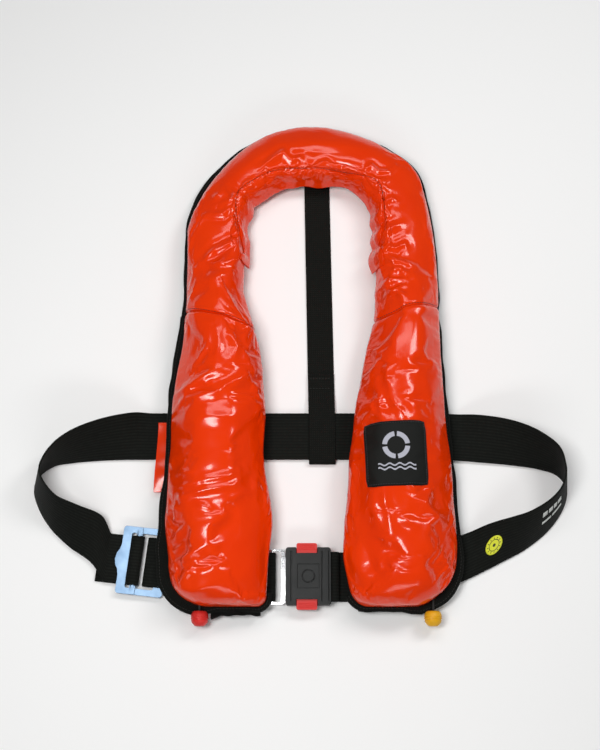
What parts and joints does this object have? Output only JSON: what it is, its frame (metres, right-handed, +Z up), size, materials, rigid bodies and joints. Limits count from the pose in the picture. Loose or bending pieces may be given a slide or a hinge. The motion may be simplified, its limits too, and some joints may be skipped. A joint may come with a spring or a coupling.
{
  "type": "inflatable life jacket",
  "caption": "Horseshoe inflatable life jacket with glossy PVC cover, waist belt with push-button buckle, adjuster, back strap and pull knobs.",
  "frame": {"origin": "underside of the back strap where it loops round the waist belt, on the surface that the jacket lies on", "axes": "+X across the chest towards the yellow knob's side, +Y towards the collar, +Z up, away from the wearer's back"},
  "size_m": [0.5558, 0.5475, 0.0614],
  "materials": {
    "orange_pvc": "glossy PVC-coated fabric, folded double, welded and stitched",
    "black_fabric": "matt black polyester fabric and hook-and-loop edging",
    "label_weave": null,
    "black_webbing": "black polyester webbing, closely woven",
    "black_plastic": "moulded black acetal, fine satin texture",
    "red_plastic": "moulded red acetal",
    "yellow_plastic": "moulded yellow plastic",
    "yellow_label": "printed yellow vinyl sticker",
    "zinc_steel": "zinc-plated pressed steel with a pale blue cast",
    "polished_steel": "polished stainless steel",
    "painted_cylinder": "steel gas cylinder, green paint",
    "bladder_film": "yellow coated bladder fabric, folded",
    "rubber": "black moulded rubber"
  },
  "bodies": {
    "root": {"adjuster_frame": "zinc_steel", "back_panel_collar": "black_fabric", "back_panel_left": "black_fabric", "back_panel_right": "black_fabric", "back_strap": "black_webbing", "back_tunnel_left": "black_fabric", "back_tunnel_right": "black_fabric", "belt_keeper_left": "orange_pvc", "bladder": "bladder_film", "buckle_front_shell": "black_plastic", "buckle_rear_shell": "black_plastic", "buckle_webbing_bar": "polished_steel", "button_spring_bottom": "polished_steel", "button_spring_top": "polished_steel", "closure_tape_end_left": "black_fabric", "closure_tape_end_right": "black_fabric", "cover_collar": "orange_pvc", "cover_left": "orange_pvc", "cover_right": "orange_pvc", "edge_binding_collar": "black_fabric", "edge_binding_left": "black_fabric", "edge_binding_right": "black_fabric", "front_left_strap": "black_webbing", "front_tunnel_left": "black_fabric", "front_tunnel_right": "black_fabric", "gas_cylinder_left": "painted_cylinder", "gas_cylinder_right": "painted_cylinder", "inflator_body_left": "black_plastic", "inflator_body_right": "black_plastic", "inspection_sticker": "yellow_label", "label_patch": "label_weave", "lever_pin_left": "polished_steel", "lever_pin_right": "polished_steel", "neck_facing": "orange_pvc", "oral_tube": "rubber", "oral_valve_body": "black_plastic", "spring_rib": "black_plastic", "waist_belt": "black_webbing", "whistle": "yellow_plastic"},
    "button_top": {"release_button_top": "red_plastic", "latch_pawl_top": "polished_steel"},
    "button_bottom": {"release_button_bottom": "red_plastic", "latch_pawl_bottom": "polished_steel"},
    "tongue": {"buckle_tongue": "polished_steel", "tongue_webbing_loop": "black_webbing"},
    "sliding_bar": {"adjuster_bar": "zinc_steel"},
    "red_pull": {"pull_knob_left": "red_plastic", "pull_cord_left": "black_webbing"},
    "left_lever": {"inflator_lever_left": "yellow_plastic"},
    "yellow_pull": {"pull_knob_right": "yellow_plastic", "pull_cord_right": "black_webbing"},
    "right_lever": {"inflator_lever_right": "yellow_plastic"},
    "valve_cap": {"oral_valve_cap": "rubber"}
  },
  "joints": [
    {"name": "button_top_press", "type": "slide", "parent": "root", "child": "button_top", "axis": [0, -1, 0], "range_m": [0, 0.003], "stiffness_N_per_m": 900, "deforming": ["button_spring_top"]},
    {"name": "button_bottom_press", "type": "slide", "parent": "root", "child": "button_bottom", "axis": [0, 1, 0], "range_m": [0, 0.003], "stiffness_N_per_m": 900, "deforming": ["button_spring_bottom"]},
    {"name": "tongue_release", "type": "slide", "parent": "root", "child": "tongue", "axis": [-1, 0, 0], "range_m": [0, 0.03]},
    {"name": "adjuster_bar_slide", "type": "slide", "parent": "root", "child": "sliding_bar", "axis": [-0.9936, 0.1132, 0], "range_m": [0, 0.0015]},
    {"name": "red_knob_pull", "type": "slide", "parent": "root", "child": "red_pull", "axis": [0, -1, 0], "range_m": [0, 0.025]},
    {"name": "left_lever_turn", "type": "hinge", "parent": "root", "child": "left_lever", "pos_m": [-0.117, -0.154, 0.023], "axis": [0, 0, 1], "range_deg": [0, 60]},
    {"name": "yellow_knob_pull", "type": "slide", "parent": "root", "child": "yellow_pull", "axis": [0, -1, 0], "range_m": [0, 0.025]},
    {"name": "right_lever_turn", "type": "hinge", "parent": "root", "child": "right_lever", "pos_m": [0.097, -0.154, 0.023], "axis": [0, 0, 1], "range_deg": [-60, 0]},
    {"name": "valve_cap_pull", "type": "slide", "parent": "root", "child": "valve_cap", "axis": [0, -1, 0], "range_m": [0, 0.02]}
  ],
  "couplings": [
    {"joint": "left_lever_turn", "follows": "red_knob_pull", "rad_per_m": 41.846},
    {"joint": "right_lever_turn", "follows": "yellow_knob_pull", "rad_per_m": -41.846}
  ]
}
